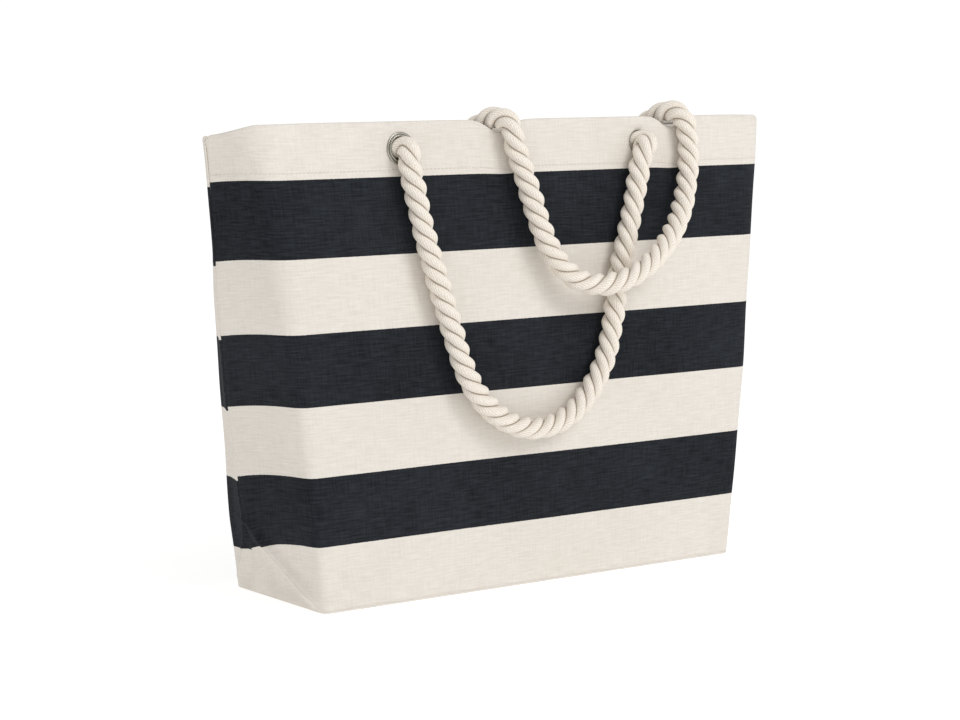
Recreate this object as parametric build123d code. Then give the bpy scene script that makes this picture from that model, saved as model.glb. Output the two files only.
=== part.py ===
from build123d import *
import math
import os

# Canvas beach bag with two twisted rope handles. Millimetres, +Z up, +X to the right
# as the front is faced, +Y to the back. The origin is the centre of the base, at its
# underside. The bag stands open: the base is a flat rectangle, the side seams run up
# from the tips of the folded base ends, and both handles hang over the front.

# Body, cut from heavy canvas
HEIGHT = 365.0              # base to rim
BASE_LENGTH = 406.0         # flat base, along X
BASE_DEPTH = 125.0          # flat base, along Y
RIM_LENGTH = 492.0          # straight part of the rim, crease to crease
RIM_WIDTH = 550.0           # rim, side seam to side seam
FRONT_RIM_Y = 37.0          # front of the rim, ahead of the side seams
BACK_RIM_Y = 27.0           # back of the rim, behind the side seams
FULLNESS = 6.0              # how far the walls swell at mid height
GUSSET_RISE = 62.0          # height of the folded base end, half the base depth
GUSSET_REACH = 12.0         # how far the tip of that end stands out past the base
SEAM_DROP = 10.0            # the rim is this much lower at the side seams
CANVAS = 1.2                # cloth thickness
CREASE_RADIUS_BASE = 12.0   # rounding of the upright creases at the base
CREASE_RADIUS_RIM = 24.0    # and at the rim

ARC_STEPS = 4               # chords along a crease's rounding
WELL_CLEAR = 400.0          # size of cutting blocks, larger than the bag's depth
SEAM_INSET = 1.4            # cloth thicknesses from a seam's outside to its inside

# Turned hem and seam allowances
HEM_DEPTH = 38.0
ALLOWANCE_WIDTH = 11.0
ALLOWANCE_THICKNESS = 2.6
ALLOWANCE_INSET = 1.9       # from a side seam's outside to where the allowance starts
ALLOWANCE_END_GAP = 5.0     # from its ends to the gusset's tip and to the hem

# Eyelets
EYELET_X = 117.0            # half the distance between a panel's two eyelets
EYELET_BELOW_RIM = 21.0
EYELET_BORE_R = 9.25
EYELET_BARREL_R = 9.9
EYELET_FLANGE_R = 12.75
EYELET_FLANGE_T = 1.3
EYELET_LIP_R = 11.2
EYELET_LIP_T = 0.7
CLOTH_HOLE_R = 10.0
WASHER_T = 0.8

# Rope
ROPE_D = 18.0
KNOT_R = 21.0
KNOT_LENGTH = 27.0
KNOT_ROUNDING = 10.0
KNOT_GAP = 0.2              # between an eyelet's lip and the knot behind it
TAIL_LENGTH = 48.0
TAIL_OFFSET = 6.0
WHIPPING_T = 0.9
WHIPPING_LENGTH = 11.0
WHIPPING_FROM_END = 1.5
BEND_GAP = 2.0              # clearance where a handle bends
FRONT_BEND_REACH = 20.0     # eyelet face to the point where the front handle bends

# Levels at which the body's outline is stated
LEVELS = [0.0, GUSSET_RISE, 180.0, HEIGHT]
ROPE_R = ROPE_D / 2.0


# ---------------------------------------------------------------- body outline

def fullness(z):
    """Swelling of a wall at height z, nothing at the base and the rim."""
    u = z / HEIGHT
    return 4.0 * FULLNESS * u * (1.0 - u)


def wall_y(z, rim_y):
    """Distance of a wall's outer face from the plane of the side seams."""
    u = z / HEIGHT
    return BASE_DEPTH / 2.0 * (1.0 - u) + rim_y * u + fullness(z)


def crease_x(z):
    """Half the length of the straight part of a wall."""
    u = z / HEIGHT
    return BASE_LENGTH / 2.0 * (1.0 - u) + RIM_LENGTH / 2.0 * u


def seam_x(z):
    """Distance of a side seam from the middle: out to the gusset's tip, then to the rim."""
    tip = BASE_LENGTH / 2.0 + GUSSET_REACH
    if z <= GUSSET_RISE:
        return BASE_LENGTH / 2.0 + GUSSET_REACH * z / GUSSET_RISE
    return tip + (RIM_WIDTH / 2.0 - tip) * (z - GUSSET_RISE) / (HEIGHT - GUSSET_RISE)


def rounded_corner(before, corner, after, radius, sign):
    """Points along the arc that rounds a corner; sign -1 turns left, +1 turns right."""
    into = (Vector(*corner) - Vector(*before)).normalized()
    out = (Vector(*after) - Vector(*corner)).normalized()
    turn = math.radians(into.get_angle(out))
    start = Vector(*corner) - into * radius * math.tan(turn / 2.0)
    to_middle = Vector(into.Y, -into.X) * sign * radius
    points = []
    for step in range(ARC_STEPS + 1):
        angle = turn * step / ARC_STEPS
        along = into * radius * math.sin(angle)
        point = start + along + to_middle * (1.0 - math.cos(angle))
        points.append((point.X, point.Y))
    return points


def half_outline(z, inset, sign):
    """Points from the left seam to the right one, round the front (-1) or back (+1)."""
    crease = crease_x(z) - inset
    seam = seam_x(z) - inset * SEAM_INSET
    rim_y = FRONT_RIM_Y if sign < 0 else BACK_RIM_Y
    wall = sign * (wall_y(z, rim_y) - inset)
    radius = CREASE_RADIUS_BASE + (CREASE_RADIUS_RIM - CREASE_RADIUS_BASE) * z / HEIGHT
    corners = [(-seam, 0), (-crease, wall), (crease, wall), (seam, 0)]
    points = [corners[0]]
    points += rounded_corner(*corners[0:3], radius - inset, sign)
    points += rounded_corner(*corners[1:4], radius - inset, sign)
    points.append(corners[3])
    return points


def flat_face(points, level):
    """Level face inside a closed run of points."""
    with BuildSketch(Plane.XY.offset(level)) as sketch:
        with BuildLine():
            Polyline(*points, close=True)
        make_face()
    return sketch.sketch.face()


def cloth_layer(outer_inset, inner_inset, sign):
    """Layer of cloth between two insets, from seam to seam, base to rim."""
    sections = []
    for z in LEVELS:
        outer = half_outline(z, outer_inset, sign)
        inner = half_outline(z, inner_inset, sign)
        level = CANVAS if z == LEVELS[0] else z
        sections.append(flat_face(outer + inner[::-1], level))
    return loft(sections, ruled=True)


def rim_cutter():
    """What is cut off above the rim, which falls away to the side seams."""
    crease = RIM_LENGTH / 2.0
    seam = RIM_WIDTH / 2.0
    past_seam = seam + CANVAS
    above = HEIGHT + WELL_CLEAR
    with BuildSketch(Plane.XZ.offset(-WELL_CLEAR / 2.0)) as sketch:
        with BuildLine():
            Polyline(
                (-crease, HEIGHT), (crease, HEIGHT), (past_seam, HEIGHT - SEAM_DROP),
                (past_seam, above), (-past_seam, above),
                (-past_seam, HEIGHT - SEAM_DROP), close=True)
        make_face()
    return extrude(sketch.sketch, amount=WELL_CLEAR)


def gusset_end_zone(side):
    """Prism over the folded triangle at one end of the base: side is -1 or +1."""
    half = BASE_DEPTH / 2.0
    start = BASE_LENGTH / 2.0 - CANVAS * 2.0
    with BuildSketch(Plane.YZ.offset(side * start)) as sketch:
        with BuildLine():
            Polyline((-half, CANVAS), (0, GUSSET_RISE), (half, CANVAS), close=True)
        make_face()
    return extrude(sketch.sketch, amount=side * WELL_CLEAR)


# ---------------------------------------------------------------- eyelet places

def wall_slope(rim_y):
    """How far a wall leans in, per millimetre of height, in its upper half."""
    low = LEVELS[-2]
    return (wall_y(low, rim_y) - rim_y) / (HEIGHT - low)


def eyelet_plane(x, sign):
    """Plane on the cloth's outer face at an eyelet, its normal pointing outwards."""
    rim_y = FRONT_RIM_Y if sign < 0 else BACK_RIM_Y
    slope = wall_slope(rim_y)
    size = math.hypot(1.0, slope)
    y = rim_y + EYELET_BELOW_RIM * slope
    normal = (0, sign / size, slope / size)
    origin = (x, sign * y, HEIGHT - EYELET_BELOW_RIM)
    return Plane(origin=origin, x_dir=(1, 0, 0), z_dir=normal)


def on_axis(plane, distance):
    """Point on an eyelet's axis, outwards from the cloth by distance."""
    return plane.origin + plane.z_dir * distance


def cloth_holes(sign):
    """The two punched holes in a panel and its hem."""
    holes = []
    for x in (-EYELET_X, EYELET_X):
        plane = eyelet_plane(x, sign)
        holes.append(plane * Cylinder(CLOTH_HOLE_R, 8.0 * CANVAS))
    return holes


# ---------------------------------------------------------------- cloth pieces

def panel(sign, wall, ends):
    """Front (sign -1) or back (+1) panel, wrapped round to both side seams."""
    piece = wall - rim_cutter()
    for end in ends:
        piece -= end
    for hole in cloth_holes(sign):
        piece -= hole
    return piece


def base_panel(walls, ends):
    """Flat base with its two folded ends, which rise to the side seams."""
    front = half_outline(0.0, 0.0, -1)
    back = half_outline(0.0, 0.0, 1)
    piece = extrude(flat_face(front + back[-2:0:-1], 0.0), amount=CANVAS)
    for end in ends:
        for wall in walls:
            piece += wall & end
    return piece


def hem(sign):
    """Turned-in inner layer of the hem along one panel's rim."""
    layer = cloth_layer(CANVAS, 2.0 * CANVAS, sign)
    zone = Box(RIM_WIDTH + WELL_CLEAR, WELL_CLEAR, HEM_DEPTH)
    layer &= Pos(0, 0, HEIGHT - HEM_DEPTH / 2.0) * zone
    layer -= rim_cutter()
    for hole in cloth_holes(sign):
        layer -= hole
    return layer


def side_allowance(side, walls):
    """Seam allowance standing inside the bag along a side seam."""
    low = GUSSET_RISE + ALLOWANCE_END_GAP
    high = HEIGHT - HEM_DEPTH - ALLOWANCE_END_GAP
    with BuildSketch(Plane.XZ.offset(-ALLOWANCE_THICKNESS / 2.0)) as sketch:
        with BuildLine():
            Polyline(
                (side * (seam_x(low) - ALLOWANCE_INSET), low),
                (side * (seam_x(high) - ALLOWANCE_INSET), high),
                (side * (seam_x(high) - ALLOWANCE_WIDTH), high),
                (side * (seam_x(low) - ALLOWANCE_WIDTH), low), close=True)
        make_face()
    piece = extrude(sketch.sketch, amount=ALLOWANCE_THICKNESS)
    for wall in walls:
        piece -= wall
    return piece


def base_allowance(sign):
    """Seam allowance lying on the base along its front or back edge."""
    edge = BASE_DEPTH / 2.0 - CANVAS - CREASE_RADIUS_BASE / 4.0
    length = BASE_LENGTH - 4.0 * CREASE_RADIUS_BASE
    y = sign * (edge - ALLOWANCE_WIDTH / 2.0)
    z = CANVAS + ALLOWANCE_THICKNESS / 2.0
    return Pos(0, y, z) * Box(length, ALLOWANCE_WIDTH, ALLOWANCE_THICKNESS)


# ---------------------------------------------------------------- metal pieces

def eyelet(plane):
    """Eyelet: rolled flange outside, barrel through the cloth, curled lip inside."""
    stack = 2.0 * CANVAS + WASHER_T
    with BuildSketch(Plane.XZ) as sketch:
        with BuildLine():
            Polyline(
                (EYELET_BORE_R, EYELET_FLANGE_T - 0.5),
                (EYELET_BORE_R, -stack - EYELET_LIP_T),
                (EYELET_LIP_R, -stack - EYELET_LIP_T),
                (EYELET_LIP_R, -stack),
                (EYELET_BARREL_R, -stack),
                (EYELET_BARREL_R, 0),
                (EYELET_FLANGE_R, 0),
                (EYELET_FLANGE_R, 0.4),
                (EYELET_FLANGE_R - 1.0, EYELET_FLANGE_T),
                (EYELET_BORE_R + 1.0, EYELET_FLANGE_T), close=True)
        make_face()
    return plane * revolve(sketch.sketch, axis=Axis.Z)


def washer(plane):
    """Flat ring under an eyelet's lip, inside the hem."""
    ring = Cylinder(EYELET_FLANGE_R, WASHER_T) - Cylinder(CLOTH_HOLE_R, WASHER_T * 3)
    return plane * (Pos(0, 0, -2.0 * CANVAS - WASHER_T / 2.0) * ring)


# ---------------------------------------------------------------- rope pieces

def knot_depth():
    """Distance from the cloth's outer face in to the near side of a knot."""
    return 2.0 * CANVAS + WASHER_T + EYELET_LIP_T + KNOT_GAP


def knot(plane, outward):
    """Stopper knot with its short tail hanging down inside the bag."""
    block = Cylinder(KNOT_R, KNOT_LENGTH)
    block = fillet(block.edges().filter_by(GeomType.CIRCLE), radius=KNOT_ROUNDING)
    body = plane * (Pos(0, 0, -knot_depth() - KNOT_LENGTH / 2.0) * block)
    top = tail_top(plane, outward)
    tail = Pos(top.X, top.Y, top.Z - TAIL_LENGTH / 2.0) * Cylinder(ROPE_R, TAIL_LENGTH)
    return body + tail


def tail_top(plane, outward):
    """Upper end of a knot's tail, inside the knot."""
    middle = on_axis(plane, -knot_depth() - KNOT_LENGTH / 2.0)
    return middle + Vector(outward * TAIL_OFFSET, 0, 0)


def whipping(plane, outward):
    """Thread wound round the end of a knot's tail."""
    top = tail_top(plane, outward)
    z = top.Z - TAIL_LENGTH + WHIPPING_FROM_END + WHIPPING_LENGTH / 2.0
    ring = Cylinder(ROPE_R + WHIPPING_T, WHIPPING_LENGTH) - Cylinder(ROPE_R, WHIPPING_LENGTH * 2)
    return Pos(top.X, top.Y, z) * ring


def bend_radii(points):
    """Largest arc that the two runs at each inner point allow."""
    radii = []
    for before, here, after in zip(points, points[1:], points[2:]):
        run_in = Vector(*here) - Vector(*before)
        run_out = Vector(*after) - Vector(*here)
        half_turn = math.radians(run_in.get_angle(run_out)) / 2.0
        radii.append(0.45 * min(run_in.length, run_out.length) / math.tan(half_turn))
    return radii


def rope_run(name, points):
    """Round rope swept along straight runs and tangent arcs."""
    radii = bend_radii(points)
    print(name, "arc radii", [round(r, 1) for r in radii])
    path = FilletPolyline(*points, radius=radii)
    start = Plane(origin=path @ 0, z_dir=path % 0)
    rope = sweep(start * Circle(ROPE_R), path=path)
    print(name, "volume over section x length",
          round(rope.volume / (math.pi * ROPE_R ** 2 * path.length), 4),
          "length", round(path.length, 1))
    return rope


def straight_rope(start, end):
    """Straight stretch of rope between two points."""
    run = Vector(*end) - Vector(*start)
    plane = Plane(origin=start, z_dir=run)
    return plane * (Pos(0, 0, run.length / 2.0) * Cylinder(ROPE_R, run.length))


def bend_ball(point):
    """Round end of a rope stretch at the point where the next one bends."""
    return Pos(*point) * Sphere(ROPE_R)


# Where the handles bend. The front handle bends just outside its eyelets. The back
# handle comes up behind the back panel, crosses the mouth and bends down again at the
# front, so it bends along two lines.
FRONT_BEND = on_axis(eyelet_plane(0, -1), FRONT_BEND_REACH)
BACK_BEND_Y = 50.0
OVER_Z = HEIGHT + 15.0
OVER_FRONT_Y = -49.0
LEFT_OVER_BACK_X = -64.0
LEFT_OVER_FRONT_X = -27.0
RIGHT_OVER_BACK_X = 132.0
RIGHT_OVER_FRONT_X = 158.0
RISER_REACH = 18.0
RISER_STEP = (13.0, 10.0, 13.0)   # sideways, back and up, between the two turns

# Each loop starts and ends this far below its bend, clear of the round rope end there
BELOW_BEND = ROPE_R + BEND_GAP

# Points of the hanging loops, from left to right. The front handle lies on the front
# panel. The back handle's loop passes in front of the front handle's right leg.
FRONT_LOOP = [
    (-EYELET_X, FRONT_BEND.Y, FRONT_BEND.Z - BELOW_BEND),
    (-116, -59, 315),
    (-112, -59, 290),
    (-106.5, -60, 264),
    (-98, -62.5, 238),
    (-89, -65, 211),
    (-82, -67, 184),
    (-68, -69.5, 156),
    (-43, -71, 132),
    (-13, -72, 121.5),
    (18, -71.5, 127),
    (43, -70, 144),
    (62, -68, 170),
    (71.5, -65.5, 200),
    (77, -63, 230),
    (85.5, -60.5, 258),
    (96, -59, 285),
    (112, -59, 311),
    (EYELET_X, FRONT_BEND.Y, FRONT_BEND.Z - BELOW_BEND),
]

BACK_LOOP = [
    (LEFT_OVER_FRONT_X, OVER_FRONT_Y, OVER_Z - BELOW_BEND),
    (-25, -49.5, 350),
    (-18, -52, 328),
    (-9.5, -56.5, 305),
    (-2.5, -60.5, 282),
    (4.5, -63.5, 263),
    (15.5, -68, 247),
    (31.5, -74, 236),
    (51.5, -80, 232.5),
    (73, -83.5, 236),
    (96, -83, 247),
    (120, -77, 264),
    (141, -68, 282),
    (154.5, -59.5, 303),
    (160.5, -54, 327),
    (161, -50, 350),
    (RIGHT_OVER_FRONT_X, OVER_FRONT_Y, OVER_Z - BELOW_BEND),
]


def front_stub(x):
    """Front handle's rope from its knot out through an eyelet to the bend."""
    plane = eyelet_plane(x, -1)
    start = on_axis(plane, -knot_depth())
    end = on_axis(plane, FRONT_BEND_REACH)
    return straight_rope(start, end) + bend_ball(end)


def back_riser(name, x, over_x):
    """Back handle's rope from its knot out through an eyelet and up to the bend."""
    plane = eyelet_plane(x, 1)
    start = on_axis(plane, -knot_depth())
    turn = on_axis(plane, RISER_REACH)
    step = Vector(*RISER_STEP)
    end = Vector(over_x, BACK_BEND_Y, OVER_Z)
    points = [tuple(start), tuple(turn), tuple(turn + step), tuple(end)]
    return rope_run(name, points) + bend_ball(end)


def back_bridge(back_x, front_x):
    """Back handle's rope across the mouth, between its two bends."""
    hinge = Vector(back_x, BACK_BEND_Y, OVER_Z)
    end = Vector(front_x, OVER_FRONT_Y, OVER_Z)
    front_of_bend = Pos(0, BACK_BEND_Y - BELOW_BEND - WELL_CLEAR, OVER_Z) * Box(
        RIM_WIDTH, 2.0 * WELL_CLEAR, WELL_CLEAR)
    rope = straight_rope(hinge, end) & front_of_bend
    return rope + bend_ball(end)


# ---------------------------------------------------------------- assembly

def cloth_nodes():
    """Panels, base, hems and seam allowances by node name."""
    walls = [cloth_layer(0.0, CANVAS, -1), cloth_layer(0.0, CANVAS, 1)]
    ends = [gusset_end_zone(-1), gusset_end_zone(1)]
    return {
        "front_panel": panel(-1, walls[0], ends),
        "back_panel": panel(1, walls[1], ends),
        "base_panel": base_panel(walls, ends),
        "front_hem": hem(-1),
        "back_hem": hem(1),
        "left_side_allowance": side_allowance(-1, walls),
        "right_side_allowance": side_allowance(1, walls),
        "front_base_allowance": base_allowance(-1),
        "back_base_allowance": base_allowance(1),
    }


def fitting_nodes():
    """Eyelets, washers, knots and whippings by node name."""
    nodes = {}
    for face, sign in (("front", -1), ("back", 1)):
        for hand, side in (("left", -1), ("right", 1)):
            plane = eyelet_plane(side * EYELET_X, sign)
            label = face + "_" + hand
            nodes[label + "_eyelet"] = eyelet(plane)
            nodes[label + "_washer"] = washer(plane)
            nodes[label + "_knot"] = knot(plane, side)
            nodes[label + "_whipping"] = whipping(plane, side)
    return nodes


def handle_nodes():
    """Stretches of both rope handles by node name."""
    return {
        "front_handle_left_stub": front_stub(-EYELET_X),
        "front_handle_right_stub": front_stub(EYELET_X),
        "front_handle_loop": rope_run("front_handle_loop", FRONT_LOOP),
        "back_handle_left_riser": back_riser(
            "back_handle_left_riser", -EYELET_X, LEFT_OVER_BACK_X),
        "back_handle_right_riser": back_riser(
            "back_handle_right_riser", EYELET_X, RIGHT_OVER_BACK_X),
        "back_handle_left_bridge": back_bridge(LEFT_OVER_BACK_X, LEFT_OVER_FRONT_X),
        "back_handle_right_bridge": back_bridge(RIGHT_OVER_BACK_X, RIGHT_OVER_FRONT_X),
        "back_handle_loop": rope_run("back_handle_loop", BACK_LOOP),
    }


def main():
    """Builds every node and writes its STEP file."""
    os.makedirs("parts", exist_ok=True)
    print("front handle bends at", FRONT_BEND)
    for nodes in (cloth_nodes(), fitting_nodes(), handle_nodes()):
        for name, shape in nodes.items():
            export_step(shape, "parts/" + name + ".step")


main()
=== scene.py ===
"""Canvas beach bag with broad stripes, metal eyelets and two twisted cotton rope handles.

Metres, +Z up, +X to the right as the front is faced, +Y to the back. The bag stands on
z = 0 with the centre of its base at the origin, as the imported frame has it.
"""

import logging
import math
from dataclasses import dataclass
from enum import Enum

import bmesh
import bpy
import numpy as np
from mathutils import Matrix, Vector


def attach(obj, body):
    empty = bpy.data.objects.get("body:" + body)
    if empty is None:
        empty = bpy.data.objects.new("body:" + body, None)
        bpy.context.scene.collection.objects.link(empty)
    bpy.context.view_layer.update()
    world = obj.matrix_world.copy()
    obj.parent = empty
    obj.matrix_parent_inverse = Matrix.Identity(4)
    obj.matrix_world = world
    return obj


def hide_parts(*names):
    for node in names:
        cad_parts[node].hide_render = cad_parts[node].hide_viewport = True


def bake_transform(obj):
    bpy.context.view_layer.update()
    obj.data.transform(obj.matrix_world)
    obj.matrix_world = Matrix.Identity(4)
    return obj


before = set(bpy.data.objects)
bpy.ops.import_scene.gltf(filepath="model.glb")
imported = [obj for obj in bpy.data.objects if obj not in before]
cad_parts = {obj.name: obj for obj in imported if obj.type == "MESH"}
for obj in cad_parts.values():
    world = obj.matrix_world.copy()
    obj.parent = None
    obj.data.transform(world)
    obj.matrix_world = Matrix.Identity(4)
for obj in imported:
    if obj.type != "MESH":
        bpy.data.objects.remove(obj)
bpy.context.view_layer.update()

log = logging.getLogger("beach_bag")
MM = 0.001


# ------------------------------------------------------------------ shared helpers

def hex_linear(code: str) -> tuple[float, float, float, float]:
    """Linear RGBA of an sRGB hex colour.

    Args:
        code: colour such as "#e2dacf".

    Returns:
        Red, green, blue and an alpha of 1.
    """
    parts = [int(code[i:i + 2], 16) / 255.0 for i in (1, 3, 5)]
    linear = [c / 12.92 if c <= 0.04045 else ((c + 0.055) / 1.055) ** 2.4 for c in parts]
    return (*linear, 1.0)


def add_node(tree: bpy.types.NodeTree, kind: str, links: dict | None = None,
             values: dict | None = None, **settings) -> bpy.types.Node:
    """Adds one shader node with its settings, socket values and incoming links.

    Args:
        tree: node tree that gets the node.
        kind: type of the node, such as "ShaderNodeBump".
        links: input name or index to the output socket that feeds it.
        values: input name or index to a fixed value.
        **settings: properties of the node itself.

    Returns:
        The new node.
    """
    node = tree.nodes.new(kind)
    for key, value in settings.items():
        setattr(node, key, value)
    for key, value in (values or {}).items():
        node.inputs[key].default_value = value
    for key, socket in (links or {}).items():
        tree.links.new(socket, node.inputs[key])
    return node


def calculate(tree: bpy.types.NodeTree, operation: str, *terms: bpy.types.NodeSocket | float,
              clamp: bool = False) -> bpy.types.NodeSocket:
    """Adds one math node.

    Args:
        tree: node tree that gets the node.
        operation: such as "MULTIPLY_ADD".
        *terms: sockets or numbers, in the order of the node's inputs.
        clamp: keeps the result between 0 and 1.

    Returns:
        The socket of the result.
    """
    node = add_node(tree, "ShaderNodeMath", operation=operation, use_clamp=clamp)
    for place, term in enumerate(terms):
        if isinstance(term, (int, float)):
            node.inputs[place].default_value = term
        else:
            tree.links.new(term, node.inputs[place])
    return node.outputs[0]


def mix_colours(tree: bpy.types.NodeTree, share: bpy.types.NodeSocket,
                first: bpy.types.NodeSocket | str,
                second: bpy.types.NodeSocket | str) -> bpy.types.NodeSocket:
    """Colour between two, each a socket or a hex code; a share of 0 gives the first."""
    node = add_node(tree, "ShaderNodeMix", {0: share}, data_type="RGBA")
    for place, colour in ((6, first), (7, second)):
        if isinstance(colour, str):
            node.inputs[place].default_value = hex_linear(colour)
        else:
            tree.links.new(colour, node.inputs[place])
    return node.outputs[2]


def new_material(name: str, inputs: dict[str, float | tuple]) -> tuple[
        bpy.types.Material, bpy.types.NodeTree, bpy.types.Node]:
    """Makes a material with some of its shader's inputs set.

    Args:
        name: material name.
        inputs: shader input to its value.

    Returns:
        The material, its node tree and its shader node.
    """
    mat = bpy.data.materials.new(name)
    mat.use_nodes = True
    shader = mat.node_tree.nodes["Principled BSDF"]
    for key, value in inputs.items():
        shader.inputs[key].default_value = value
    return mat, mat.node_tree, shader


def add_bump(tree: bpy.types.NodeTree, shader: bpy.types.Node, height: bpy.types.NodeSocket,
             strength: float, distance: float) -> None:
    """Roughens a shader's surface by a height, with its depth in metres."""
    bump = add_node(tree, "ShaderNodeBump", {"Height": height},
                    {"Strength": strength, "Distance": distance})
    tree.links.new(bump.outputs[0], shader.inputs["Normal"])


def put_mesh(name: str, points: np.ndarray, faces: np.ndarray | list,
             uv: np.ndarray | None = None) -> bpy.types.Object:
    """Makes a smooth-shaded mesh object from whole arrays.

    Args:
        name: object name.
        points: (n, 3) vertex positions.
        faces: (m, 4) or list of vertex indices.
        uv: (n, 2) map position of every vertex, in metres on the cloth.

    Returns:
        The linked object, at the origin.
    """
    mesh = bpy.data.meshes.new(name)
    faces = [tuple(int(i) for i in f) for f in faces]
    mesh.from_pydata(np.asarray(points, float).tolist(), [], faces)
    if uv is not None:
        corner = np.empty(len(mesh.loops), np.int32)
        mesh.loops.foreach_get("vertex_index", corner)
        layer = mesh.uv_layers.new(name="cloth")
        layer.data.foreach_set("uv", np.asarray(uv, np.float32)[corner].ravel())
    mesh.polygons.foreach_set("use_smooth", np.ones(len(mesh.polygons), bool))
    mesh.validate()
    obj = bpy.data.objects.new(name, mesh)
    bpy.context.scene.collection.objects.link(obj)
    return obj


def grid_faces(rows: int, columns: int, closed: bool = False, flip: bool = False) -> np.ndarray:
    """Quads of a grid whose vertices are stored row by row.

    Args:
        rows: number of vertex rows.
        columns: number of vertices in a row.
        closed: whether the last column joins the first.
        flip: turns the faces over.

    Returns:
        (m, 4) vertex indices.
    """
    span = columns if closed else columns - 1
    r, c = np.meshgrid(np.arange(rows - 1), np.arange(span), indexing="ij")
    nxt = (c + 1) % columns
    quads = np.stack([r * columns + c, r * columns + nxt,
                      (r + 1) * columns + nxt, (r + 1) * columns + c], -1).reshape(-1, 4)
    return quads[:, ::-1] if flip else quads


def merge_doubles(obj: bpy.types.Object, distance: float = 1e-6) -> None:
    """Merges vertices that lie on each other, where a grid runs into a point or closes.

    Args:
        obj: mesh object.
        distance: how close two vertices are to be one.
    """
    bm = bmesh.new()
    bm.from_mesh(obj.data)
    bmesh.ops.remove_doubles(bm, verts=bm.verts, dist=distance)
    bmesh.ops.dissolve_degenerate(bm, edges=bm.edges, dist=distance)
    bm.to_mesh(obj.data)
    bm.free()


def thicken(obj: bpy.types.Object, thickness: float, inner_slot: int = 0) -> None:
    """Gives a sheet its cloth thickness on the side away from its normals.

    Args:
        obj: mesh object.
        thickness: cloth thickness in metres.
        inner_slot: how many slots further the inner face's material is.
    """
    solid = obj.modifiers.new("cloth_thickness", "SOLIDIFY")
    solid.thickness = thickness
    solid.offset = -1.0
    solid.use_even_offset = False
    solid.material_offset = inner_slot
    solid.material_offset_rim = 0


def smooth_step(x: np.ndarray, low: float, high: float) -> np.ndarray:
    """Soft step from 0 at low to 1 at high."""
    s = np.clip((x - low) / (high - low), 0.0, 1.0)
    return s * s * (3.0 - 2.0 * s)


# ------------------------------------------------------------------ shape of the bag

class Face(Enum):
    """Front or back half of the bag, by the sign of Y."""

    FRONT = -1
    BACK = 1


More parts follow.
